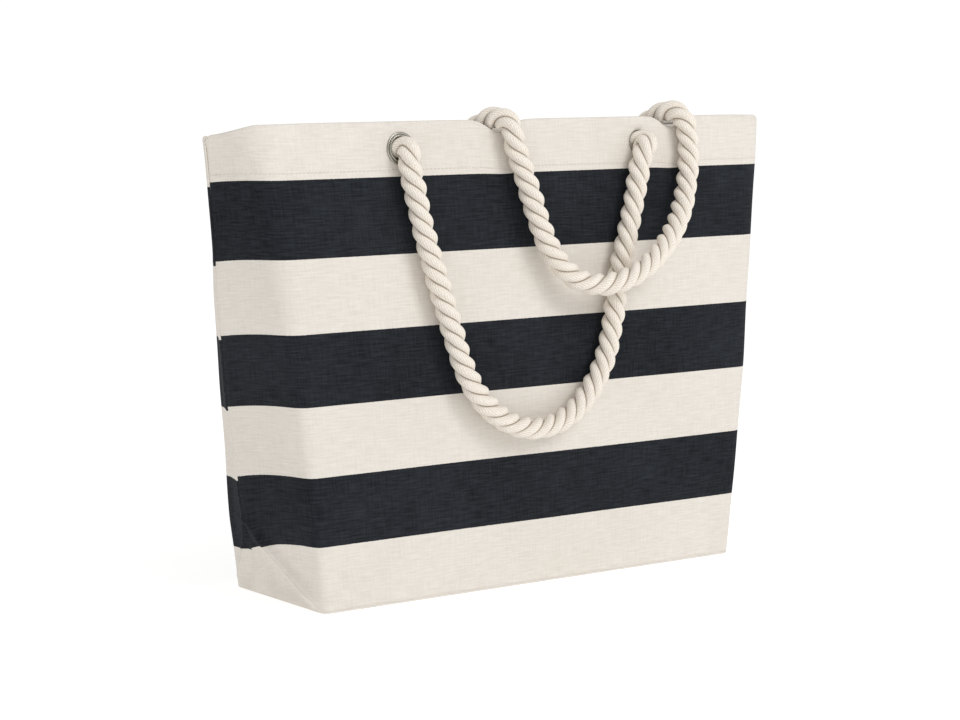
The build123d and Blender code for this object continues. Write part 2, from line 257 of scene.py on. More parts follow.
@dataclass(frozen=True)
class BagShape:
    """Outer surface of the standing bag, as a function of two parameters.

    t runs round one half: -2 at the left side seam, -1 at the left crease, 1 at the
    right crease, 2 at the right side seam. z is the height. A pair of values is for the
    left and the right of the bag.
    """

    height: float = 0.365
    base_half: float = 0.203
    base_depth: float = 0.125
    rim_half: tuple[float, float] = (0.244, 0.250)
    rim_seam: tuple[float, float] = (0.271, 0.277)
    seam_back: tuple[float, float] = (0.027, 0.002)
    front_rim: float = 0.037
    back_rim: float = 0.027
    fullness: float = 0.006
    gusset_rise: float = 0.059
    gusset_reach: float = 0.015
    seam_drop: float = 0.010
    crease_round_base: float = 0.007
    crease_round_rim: float = 0.018
    foot: float = 0.0016
    back_drop: float = 0.004
    back_corner: float = 0.0035
    tip_round: tuple[float, float] = (0.0065, 0.001)
    rim_corner: tuple[float, float] = (0.0150, 0.0010)
    side_sag: tuple[float, ...] = (0.0140, 0.0080, 0.0070, 0.0055, 0.0040, 0.0028)
    sag_heights: tuple[float, ...] = (0.050, 0.103, 0.156, 0.210, 0.265, 0.324)

    @staticmethod
    def of_side(t: np.ndarray, pair: tuple[float, float]) -> np.ndarray:
        """First value of a pair on the left of the bag, second on its right."""
        return np.where(np.asarray(t) < 0, pair[0], pair[1])

    @staticmethod
    def follow(face: Face) -> float:
        """Share of a rope's push on the rim that the cloth below follows."""
        return 0.1 if face is Face.FRONT else 0.9

    def sag(self, t: np.ndarray, z: np.ndarray, face: Face) -> np.ndarray:
        """How much further up the cloth a height is.

        In front the sides sag towards their seams. The whole back panel hangs that low. A
        rope that presses the rim down takes the cloth below it along.
        """
        side = np.abs(t) - 1
        weight = np.clip(side, 0, 1) ** 2 if face is Face.FRONT else 1.0
        pushed = self.pressed(t, face) * smooth_step(z, 0.27, 0.345)
        return np.interp(z, self.sag_heights, self.side_sag) * weight + pushed * self.follow(face)

    def wall(self, z: np.ndarray, face: Face) -> np.ndarray:
        """Distance of a wall from the plane of the seams: linear in z, swollen by a parabola."""
        u = z / self.height
        rim = self.front_rim if face is Face.FRONT else self.back_rim
        return self.base_depth / 2 * (1 - u) + rim * u + 4 * self.fullness * u * (1 - u)

    def seam(self, t: np.ndarray, z: np.ndarray) -> np.ndarray:
        """Distance of a side seam from the middle: out to the gusset's tip, then to the rim."""
        tip = self.base_half + self.gusset_reach
        low = self.base_half + self.gusset_reach * z / self.gusset_rise
        rise = (z - self.gusset_rise) / (self.height - self.gusset_rise)
        return np.where(z <= self.gusset_rise, low, tip + (self.of_side(t, self.rim_seam) - tip) * rise)

    def flat_outline(self, t: np.ndarray, z: np.ndarray, face: Face) -> np.ndarray:
        """Outline without folds.

        Two straight lines meet at each crease. With a as the signed distance past the
        crease, a point is the crease + out h(a) - across h(-a), where h is a ramp whose
        corner is rounded by a parabola.

        Args:
            t: position round the half.
            z: height.
            face: front or back half.

        Returns:
            Positions with a last axis of 3.
        """
        t, z = np.broadcast_arrays(np.asarray(t, float), np.asarray(z, float))
        u = z / self.height
        crease = self.base_half * (1 - u) + self.of_side(t, self.rim_half) * u
        wall = self.wall(z, face) * face.value
        seam_x = self.seam(t, z)
        seam_y = self.of_side(t, self.seam_back) * smooth_step(self.height - z, 0.0, 0.26)
        out_x, out_y = seam_x - crease, seam_y - wall
        length = np.hypot(out_x, out_y)
        side = np.abs(t) - 1
        a = np.where(side > 0, side * length, side * crease)
        radius = self.crease_round_base * (1 - u) + self.crease_round_rim * u

        def ramp(s: np.ndarray) -> np.ndarray:
            """0 below -radius, s above radius, a parabola between."""
            soft = (s + radius) ** 2 / (4 * radius)
            return np.where(s > radius, s, np.where(s < -radius, 0.0, soft))

        x = np.sign(t) * (crease + out_x / length * ramp(a) - ramp(-a))
        x = np.where(np.abs(t) < 1e-9, 0.0, x)
        return np.stack([x, wall + out_y / length * ramp(a), z], -1)

    def folds(self, t: np.ndarray, z: np.ndarray, face: Face) -> np.ndarray:
        """How far the cloth stands out from its flat outline.

        A few slow sine waves, soft dents in the top band, a ridge along each gusset's
        edge, a hollow beside it, and a shallow groove at each side seam.

        Args:
            t: position round the half.
            z: height.
            face: front or back half.

        Returns:
            Distance along the outward normal, in metres.
        """
        flat = self.flat_outline(t, z, face)
        x = flat[..., 0]
        side = np.abs(t) - 1
        waves = (1.1 * np.sin(9.1 * x + 4.0 * z + face.value)
                 + 0.6 * np.sin(17.3 * x - 11.0 * z + 1.3)
                 + 0.45 * np.sin(6.0 * x + 31.0 * z + 2.1)
                 + 0.30 * np.sin(41.0 * x + 13.0 * z)
                 + 0.22 * np.sin(29.0 * x - 74.0 * z + 0.7)) * MM
        waves = waves * smooth_step(z, 0.0, 0.05)
        dents = np.zeros_like(waves)
        for dent_x, dent_z, wide, tall, deep in self.dents(face):
            reach = ((x - dent_x) / wide) ** 2 + ((z - dent_z) / tall) ** 2
            dents -= deep * np.exp(-reach)
        rise = self.gusset_rise * np.clip(side, 0, 1)
        past_edge = (z - rise) / math.sqrt(2.0)
        on_side = smooth_step(side, 0.0, 0.25) * (1 - 0.4 * smooth_step(side, 0.75, 1.0))
        crest = (5.0 if face is Face.FRONT else 2.0) * MM
        ridge = crest * np.exp(-(past_edge / 0.0042) ** 2)
        hollow = 2.6 * MM * np.exp(-((past_edge + 0.016) / 0.011) ** 2)
        second = 0.9 * MM * np.exp(-((past_edge + 0.031) / 0.003) ** 2)
        gusset = (ridge - hollow + second) * on_side * smooth_step(z, 0.0, 0.012)
        tuck = 2.2 * MM * np.exp(-((z - 0.053) / 0.006) ** 2 - ((side - 1) / 0.10) ** 2)
        groove = 0.8 * MM * np.exp(-((side - 1) / 0.030) ** 2) * smooth_step(z, 0.05, 0.07)
        beside = 0.4 * MM * np.exp(-((side - 0.90) / 0.045) ** 2) * smooth_step(z, 0.05, 0.07)
        corner = self.back_corner * np.exp(-(side / 0.20) ** 2) * (face is Face.BACK) * (t < 0)
        corner = corner * smooth_step(z, 0.0, 0.06)
        return waves + dents + gusset + corner - tuck - groove + beside

    def dents(self, face: Face) -> list[tuple[float, float, float, float, float]]:
        """Soft dents as x, z, width, height and depth: only the front's are marked ones."""
        if face is Face.FRONT:
            return [(-0.213, 0.350, 0.012, 0.016, 0.0016), (-0.150, 0.338, 0.022, 0.012, 0.0013),
                    (-0.060, 0.342, 0.030, 0.012, 0.0010), (0.040, 0.335, 0.026, 0.014, 0.0010),
                    (0.185, 0.340, 0.020, 0.016, 0.0008), (-0.185, 0.230, 0.020, 0.090, 0.0016)]
        return [(-0.140, 0.340, 0.030, 0.014, 0.0012), (0.090, 0.338, 0.028, 0.013, 0.0012),
                (0.190, 0.200, 0.022, 0.080, 0.0014)]

    def rim(self, t: np.ndarray, face: Face) -> np.ndarray:
        """Height of the rim: level, lower at the seams, and pressed down under the ropes."""
        t = np.asarray(t, float)
        side = np.abs(t) - 1
        level = self.height - self.seam_drop * smooth_step(side, -0.22, 1.05)
        level = level - self.of_side(t, self.tip_round) * smooth_step(side, 0.80, 1.03) ** 2
        if face is Face.BACK:
            level = level - self.back_drop * (1 - smooth_step(side, -0.3, 0.3))
            level = level - self.of_side(t, self.rim_corner) * np.exp(-((side - 0.2) / 0.36) ** 2)
        return level - self.pressed(t, face)

    def pressed(self, t: np.ndarray, face: Face) -> np.ndarray:
        """How far the ropes press a rim down."""
        x = self.of_side(t, self.rim_half) * np.asarray(t, float)
        return sum(deep * np.exp(-((x - at) / wide) ** 2)
                   for at, wide, deep in self.rope_dips(face))

    def rope_dips(self, face: Face) -> list[tuple[float, float, float]]:
        """Where the back handle presses a rim down: x, width and depth."""
        if face is Face.FRONT:
            return [(-0.0225, 0.015, 0.0100), (0.1525, 0.0125, 0.0100)]
        return [(-0.068, 0.021, 0.020), (0.149, 0.016, 0.019)]

    def point(self, t: np.ndarray, z: np.ndarray, face: Face, inset: float = 0.0) -> np.ndarray:
        """Positions on the cloth, inset from its outer face.

        Args:
            t: position round the half.
            z: height.
            face: front or back half.
            inset: distance inwards along the normal, in metres.

        Returns:
            Positions with a last axis of 3.
        """
        step = 1e-4
        t, z = np.broadcast_arrays(np.asarray(t, float), np.asarray(z, float))
        here = self.flat_outline(t, z, face)
        t_low, t_high = np.maximum(t - step, -2.0), np.minimum(t + step, 2.0)
        along = self.flat_outline(t_high, z, face) - self.flat_outline(t_low, z, face)
        up = self.flat_outline(t, z + step, face) - self.flat_outline(t, z - step, face)
        normal = np.cross(along, up) * -face.value
        normal = normal / np.linalg.norm(normal, axis=-1, keepdims=True)
        return here + normal * (self.folds(t, z, face) - inset)[..., None]

    def edge_low(self, t: np.ndarray) -> np.ndarray:
        """Lowest height of a panel: its foot, or the slanting edge of the gusset."""
        side = np.clip(np.abs(np.asarray(t, float)) - 1, 0, 1)
        return self.foot + (self.gusset_rise - self.foot) * side

    def columns(self) -> np.ndarray:
        """Values of t for a panel's columns, closer together at creases and seams."""
        wall = np.linspace(-1, 1, 150)
        wall = np.sign(wall) * (1 - (1 - np.abs(wall)) ** 1.08)
        side = 1 - np.cos(np.linspace(0, math.pi, 27)) * 0.5 + 0.5
        right = side[1:]
        return np.concatenate([-right[::-1], wall, right])


# ------------------------------------------------------------------ finishes

@dataclass(frozen=True)
class StripedCanvas:
    """Plain-weave cotton canvas, about 280 g/m2, printed with broad near-black bands.

    Matt, with uneven yarns that leave short pale dashes in the print.
    """

    natural: str = "#e4ded6"
    natural_shade: str = "#d6cfc5"
    print_dark: str = "#15171b"
    print_worn: str = "#2d3035"
    bands_mm: tuple[tuple[float, float], ...] = ((51.0, 103.3), (156.2, 210.2), (265.5, 323.7))
    drop_mm: float = 0.0
    yarn_mm: float = 1.5
    slub_long_mm: float = 17.0
    slub_high_mm: float = 1.3
    printed: bool = True

    def material(self, name: str) -> bpy.types.Material:
        """Builds the material.

        The UV map is the cloth's own plane in metres, V being the height on the bag.

        Args:
            name: material name.

        Returns:
            The material.
        """
        mat, tree, shader = new_material(name, {
            "Roughness": 0.95, "Specular IOR Level": 0.08, "Sheen Weight": 0.02,
            "Sheen Roughness": 0.6})
        cloth = add_node(tree, "ShaderNodeUVMap", uv_map="cloth").outputs["UV"]

        def streaks(scale: tuple[float, float], detail: float) -> bpy.types.NodeSocket:
            """Noise stretched along one thread direction; scale is in cycles per metre."""
            put = add_node(tree, "ShaderNodeMapping", {"Vector": cloth},
                           {"Scale": (*scale, 1.0)})
            return add_node(tree, "ShaderNodeTexNoise", {"Vector": put.outputs[0]},
                            {"Scale": 1.0, "Detail": detail, "Roughness": 0.6}).outputs["Fac"]

        weft = streaks((1000 / self.slub_long_mm, 1000 / self.slub_high_mm), 2.0)
        warp = streaks((1000 / self.slub_high_mm, 1000 / self.slub_long_mm), 2.0)
        clouds = streaks((9.0, 9.0), 3.0)
        yarns = add_node(tree, "ShaderNodeMix", {2: weft, 3: warp}, {0: 0.36},
                         data_type="FLOAT").outputs[0]
        tone = add_node(tree, "ShaderNodeMapRange", {"Value": yarns},
                        {"From Min": 0.33, "From Max": 0.67}).outputs[0]
        pale = self._two_tone(tree, tone, clouds, self.natural_shade, self.natural)
        colour = pale
        if self.printed:
            dark = self._two_tone(tree, tone, clouds, self.print_dark, self.print_worn)
            colour = mix_colours(tree, self._bands(tree, cloth), pale, dark)
        tree.links.new(colour, shader.inputs["Base Color"])
        weave = self._weave(tree, cloth)
        height = calculate(tree, "MULTIPLY_ADD", weave, 0.25, yarns)
        add_bump(tree, shader, height, 0.35, 0.00035)
        return mat

    def _two_tone(self, tree: bpy.types.NodeTree, tone: bpy.types.NodeSocket,
                  clouds: bpy.types.NodeSocket, low: str, high: str) -> bpy.types.NodeSocket:
        """Colour between low and high, by yarn and a little by large soft clouds."""
        drift = calculate(tree, "SUBTRACT", clouds, 0.5)
        level = calculate(tree, "MULTIPLY_ADD", drift, 0.9, tone, clamp=True)
        return mix_colours(tree, level, low, high)

    def _bands(self, tree: bpy.types.NodeTree, cloth: bpy.types.NodeSocket) -> bpy.types.NodeSocket:
        """1 inside a printed band and 0 outside, with edges that waver by half a yarn."""
        v = add_node(tree, "ShaderNodeSeparateXYZ", {0: cloth}).outputs["Y"]
        put = add_node(tree, "ShaderNodeMapping", {"Vector": cloth}, {"Scale": (700, 90, 1)})
        waver = add_node(tree, "ShaderNodeTexNoise", {"Vector": put.outputs[0]},
                         {"Scale": 1.0, "Detail": 1.0}).outputs["Fac"]
        v = calculate(tree, "MULTIPLY_ADD", waver, 0.5 * MM, v)
        blur = 0.12
        total = None
        for low, high in self.bands_mm:
            middle, half = (low + high) / 2 - self.drop_mm, (high - low) / 2
            gap = calculate(tree, "ABSOLUTE", calculate(tree, "SUBTRACT", v, middle * MM))
            inside = add_node(tree, "ShaderNodeMapRange", {"Value": gap},
                              {"From Min": (half + blur) * MM, "From Max": (half - blur) * MM})
            inside = inside.outputs[0]
            total = inside if total is None else calculate(tree, "MAXIMUM", total, inside)
        return total

    def _weave(self, tree: bpy.types.NodeTree, cloth: bpy.types.NodeSocket) -> bpy.types.NodeSocket:
        """Plain weave: the product of a sine across and a sine up, one yarn a half wave.

        Drawn at twice the real thread spacing of 0.75 mm, which is too fine to show.
        """
        turns = math.pi / (self.yarn_mm * MM)
        split = add_node(tree, "ShaderNodeSeparateXYZ", {0: cloth})
        waves = [calculate(tree, "SINE", calculate(tree, "MULTIPLY", split.outputs[axis], turns))
                 for axis in ("X", "Y")]
        return calculate(tree, "MULTIPLY", *waves)


@dataclass(frozen=True)
class CottonRope:
    """Three-strand laid cotton rope, undyed: soft, matt, its yarns lying along the rope. The grooves
    between its strands get painted shade.
    """

    light: str = "#f6efe5"
    shade: str = "#e0d6c8"
    # groove: painted shade, the dark colour laid into the grooves between the strands
    groove: str = "#8c7b68"
    yarns: float = 10.0

    def material(self, name: str) -> bpy.types.Material:
        """Builds the material; UV is strand angle (0..1 per strand) and length in metres.

        Args:
            name: material name.

        Returns:
            The material.
        """
        mat, tree, shader = new_material(name, {
            "Roughness": 0.95, "Specular IOR Level": 0.08, "Sheen Weight": 0.05,
            "Sheen Roughness": 0.5})
        cloth = add_node(tree, "ShaderNodeUVMap", uv_map="cloth").outputs["UV"]
        split = add_node(tree, "ShaderNodeSeparateXYZ", {0: cloth})
        across = split.outputs["X"]
        put = add_node(tree, "ShaderNodeMapping", {"Vector": cloth}, {"Scale": (9.0, 60.0, 1)})
        wobble = add_node(tree, "ShaderNodeTexNoise", {"Vector": put.outputs[0]},
                          {"Scale": 1.0, "Detail": 3.0}).outputs["Fac"]
        lean = calculate(tree, "MULTIPLY_ADD", split.outputs["Y"], -70.0, across)
        phase = calculate(tree, "MULTIPLY", lean, 2 * math.pi * self.yarns)
        phase = calculate(tree, "MULTIPLY_ADD", wobble, 7.0, phase)
        yarn = calculate(tree, "SINE", phase)
        fine = add_node(tree, "ShaderNodeTexNoise",
                        {"Vector": add_node(tree, "ShaderNodeTexCoord").outputs["Object"]},
                        {"Scale": 900.0, "Detail": 3.0, "Roughness": 0.7}).outputs["Fac"]
        level = calculate(tree, "MULTIPLY_ADD", yarn, 0.20, fine)
        tone = add_node(tree, "ShaderNodeMapRange", {"Value": level},
                        {"From Min": 0.30, "From Max": 0.68}).outputs[0]
        base = mix_colours(tree, tone, self.shade, self.light)
        # Painted shade: near the edge of each strand, in the grooves between strands, the colour goes
        # over to the dark groove colour.
        centre = calculate(tree, "WRAP", across, 0.0, 1.0)
        off = calculate(tree, "ABSOLUTE", calculate(tree, "SUBTRACT", centre, 0.5))
        deep = add_node(tree, "ShaderNodeMapRange", {"Value": off},
                        {"From Min": 0.40, "From Max": 0.5, "To Max": 0.92}).outputs[0]
        tree.links.new(mix_colours(tree, deep, base, self.groove), shader.inputs["Base Color"])
        add_bump(tree, shader, level, 0.55, 0.0006)
        return mat


@dataclass(frozen=True)
class NickelPlate:
    """Nickel-plated pressed steel: a mirror-like grey with fine handling scratches."""

    colour: str = "#b9b6af"
    dull: str = "#9a978f"
    roughness: float = 0.24

    def material(self, name: str) -> bpy.types.Material:
        """Builds the material.

        Args:
            name: material name.

        Returns:
            The material.
        """
        mat, tree, shader = new_material(name, {"Metallic": 1.0})
        place = add_node(tree, "ShaderNodeTexCoord").outputs["Object"]
        smears = add_node(tree, "ShaderNodeTexNoise", {"Vector": place},
                          {"Scale": 700.0, "Detail": 4.0}).outputs["Fac"]
        rough = add_node(tree, "ShaderNodeMapRange", {"Value": smears},
                         {"To Min": self.roughness - 0.06, "To Max": self.roughness + 0.14})
        tree.links.new(rough.outputs[0], shader.inputs["Roughness"])
        tree.links.new(mix_colours(tree, smears, self.dull, self.colour), shader.inputs["Base Color"])
        add_bump(tree, shader, smears, 0.08, 0.0001)
        return mat


@dataclass(frozen=True)
class SewingThread:
    """Twisted polyester-cotton sewing thread, slightly glossier than the canvas."""

    colour: str = "#e6dfd6"
    shade: str = "#d2cabf"

    def material(self, name: str) -> bpy.types.Material:
        """Builds the material.

        Args:
            name: material name.

        Returns:
            The material.
        """
        mat, tree, shader = new_material(name, {"Roughness": 0.7, "Sheen Weight": 0.1})
        place = add_node(tree, "ShaderNodeTexCoord").outputs["Object"]
        ply = add_node(tree, "ShaderNodeTexNoise", {"Vector": place},
                       {"Scale": 1500.0, "Detail": 2.0}).outputs["Fac"]
        tree.links.new(mix_colours(tree, ply, self.shade, self.colour), shader.inputs["Base Color"])
        add_bump(tree, shader, ply, 0.3, 0.0002)
        return mat


class Finishes:
    """The materials of the bag, each made once."""

    def __init__(self) -> None:
        """Builds every material."""
        self.front_canvas = StripedCanvas().material("striped_canvas_front")
        self.back_canvas = StripedCanvas(drop_mm=3.0).material("striped_canvas_back")
        self.plain_canvas = StripedCanvas(printed=False).material("plain_canvas")
        self.lining = StripedCanvas(
            natural="#ded6c8", natural_shade="#cfc7b8", print_dark="#a39f98",
            print_worn="#b0aba2").material("canvas_wrong_side")
        self.rope = CottonRope().material("laid_cotton_rope")
        self.metal = NickelPlate().material("nickel_plated_steel")
        self.thread = SewingThread().material("sewing_thread")


# ------------------------------------------------------------------ eyelet places

@dataclass(frozen=True)
class EyeletPlace:
    """Centre and outward axis of one eyelet, read from the frame."""

    label: str
    face: Face
    centre: tuple[float, float, float]
    axis: tuple[float, float, float]

    @staticmethod
    def read(label: str, face: Face) -> "EyeletPlace":
        """Place of an eyelet from its CAD mesh.

        The centre is the middle of the node's box. The axis is the direction in which
        the node's vertices spread least.

        Args:
            label: such as "front_left".
            face: half of the bag that it is in.

        Returns:
            The place, with its centre on the cloth's outer face.
        """
        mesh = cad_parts[label + "_eyelet"].data
        flat = np.empty(len(mesh.vertices) * 3)
        mesh.vertices.foreach_get("co", flat)
        points = flat.reshape(-1, 3)
        middle = (points.min(0) + points.max(0)) / 2
        axis = np.linalg.eigh(np.cov((points - middle).T))[1][:, 0]
        axis = axis * np.sign(axis[1] * face.value)
        along = (points - middle) @ axis
        flange = 1.3 * MM
        centre = middle + axis * (along.max() - flange)
        return EyeletPlace(label, face, tuple(centre), tuple(axis))

    def on_axis(self, distance: float) -> np.ndarray:
        """Point on the eyelet's axis, outwards from the cloth by distance."""
        return np.array(self.centre) + np.array(self.axis) * distance

    def across(self) -> tuple[np.ndarray, np.ndarray]:
        """Two unit vectors in the eyelet's plane: to the right, and up the cloth."""
        right = np.array([1.0, 0.0, 0.0])
        up = np.cross(np.array(self.axis), right) * -self.face.value
        return right, up / np.linalg.norm(up)


# ------------------------------------------------------------------ rope

def spline_points(name: str, route: list[tuple[float, float, float]]) -> np.ndarray:
    """Smooth centreline through space: a NURBS spline with the route as control points.

    Args:
        name: name of the temporary curve.
        route: control points in metres.

    Returns:
        (n, 3) points along the spline.
    """
    curve = bpy.data.curves.new(name, "CURVE")
    curve.dimensions = "3D"
    curve.resolution_u = 24
    spline = curve.splines.new("NURBS")
    spline.points.add(len(route) - 1)
    for point, place in zip(spline.points, route):
        point.co = (*place, 1.0)
    spline.order_u = 3
    spline.use_endpoint_u = True
    holder = bpy.data.objects.new(name, curve)
    bpy.context.scene.collection.objects.link(holder)
    bpy.context.view_layer.update()
    mesh = bpy.data.meshes.new_from_object(holder.evaluated_get(
        bpy.context.evaluated_depsgraph_get()))
    flat = np.empty(len(mesh.vertices) * 3)
    mesh.vertices.foreach_get("co", flat)
    bpy.data.objects.remove(holder)
    bpy.data.curves.remove(curve)
    bpy.data.meshes.remove(mesh)
    return flat.reshape(-1, 3)


def line_length(points: np.ndarray) -> float:
    """Length of a line of points."""
    return float(np.linalg.norm(np.diff(points, axis=0), axis=1).sum())


def evenly(points: np.ndarray, spacing: float) -> np.ndarray:
    """Points at equal steps of about spacing along a line of points."""
    run = np.concatenate([[0], np.cumsum(np.linalg.norm(np.diff(points, axis=0), axis=1))])
    keep = np.concatenate([[True], np.diff(run) > 1e-9])
    count = max(2, int(round(run[-1] / spacing)) + 1)
    at = np.linspace(0, run[-1], count)
    return np.stack([np.interp(at, run[keep], points[keep, i]) for i in range(3)], -1)


def carried_frames(path: np.ndarray) -> tuple[np.ndarray, np.ndarray]:
    """Two unit vectors across a path at each point, carried along it without twist.

    Args:
        path: (n, 3) points.

    Returns:
        First and second vector at every point, each (n, 3).
    """
    tangent = np.gradient(path, axis=0)
    tangent /= np.linalg.norm(tangent, axis=1, keepdims=True)
    first = np.zeros_like(path)
    guess = np.array([0.0, 0.0, 1.0]) if abs(tangent[0][2]) < 0.9 else np.array([1.0, 0.0, 0.0])
    for ring in range(len(path)):
        side = guess - tangent[ring] * (guess @ tangent[ring])
        guess = side / np.linalg.norm(side)
        first[ring] = guess
    return first, np.cross(tangent, first)


@dataclass(frozen=True)
class LaidRope:
    """Three-strand rope: sizes of its section and of its lay."""

    diameter: float = 0.018
    strand: float = 0.0049
    pitch: float = 0.0385
    around: int = 54
    ring_gap: float = 0.0014

    def section(self, angle: np.ndarray) -> np.ndarray:
        """Radius of the rope's outline at an angle: the outermost of three round strands.

        Args:
            angle: angle from the middle of a strand, any value.

        Returns:
            Radius in metres.
        """
        third = 2 * math.pi / 3
        a = (angle + third / 2) % third - third / 2
        offset = self.diameter / 2 - self.strand
        inside = np.maximum(self.strand ** 2 - (offset * np.sin(a)) ** 2, 0)
        return offset * np.cos(a) + np.sqrt(inside)

    def surface(self, path: np.ndarray, squeeze: float = 1.0, start_turn: float = 0.0,
                start_length: float = 0.0) -> tuple[np.ndarray, np.ndarray]:
        """Twisted surface along a path: each ring is the outline, turned a little further.

        Args:
            path: (n, 3) evenly spaced centre points.
            squeeze: factor on the rope's radius.
            start_turn: angle of the first strand at the path's start.
            start_length: length of rope before the path's start.

        Returns:
            (n, around, 3) positions and (n, around, 2) map positions.
        """
        first, second = carried_frames(path)
        steps = np.linalg.norm(np.diff(path, axis=0), axis=1)
        run = start_length + np.concatenate([[0], np.cumsum(steps)])
        third = 2 * math.pi / 3
        around = np.arange(self.around) / self.around * 2 * math.pi
        turn = start_turn - 2 * math.pi * run / self.pitch
        slow = 1 + 0.020 * np.sin(run * 61.0)[:, None] + 0.016 * np.sin(run * 173.0)[:, None]
        radius = self.section(around)[None, :] * squeeze * slow
        spin = turn[:, None] + around[None, :]
        rings = (path[:, None, :]
                 + radius[..., None] * (np.cos(spin)[..., None] * first[:, None, :]
                                        + np.sin(spin)[..., None] * second[:, None, :]))
        across = (around / third + 0.5)[None, :] + 0 * run[:, None]
        uv = np.stack([across, np.broadcast_to(run[:, None], across.shape)], -1)
        return rings, uv

    def mesh(self, name: str, rings: np.ndarray, uv: np.ndarray,
             caps: tuple[bool, bool] = (True, True)) -> bpy.types.Object:
        """Mesh of a stretch of rope.

        Args:
            name: object name.
            rings: (n, around, 3) positions.
            uv: (n, around, 2) map positions.
            caps: whether the first and last rings get a closed end.

        Returns:
            The object.
        """
        count, around = rings.shape[:2]
        seam = np.concatenate([rings, rings[:, :1]], 1)
        last = uv[:, :1].copy()
        last[..., 0] += 3.0
        seam_uv = np.concatenate([uv, last], 1)
        points = seam.reshape(-1, 3)
        maps = seam_uv.reshape(-1, 2)
        faces = [tuple(f) for f in grid_faces(count, around + 1)]
        for end, wanted in ((0, caps[0]), (count - 1, caps[1])):
            if not wanted:
                continue
            middle = len(points)
            points = np.concatenate([points, rings[end].mean(0)[None]])
            maps = np.concatenate([maps, uv[end, :1]])
            ring = end * (around + 1) + np.arange(around + 1)
            for a, b in zip(ring[:-1], ring[1:]):
                faces.append((b, a, middle) if end == 0 else (a, b, middle))
        obj = put_mesh(name, points, faces, maps)
        merge_doubles(obj)
        return obj


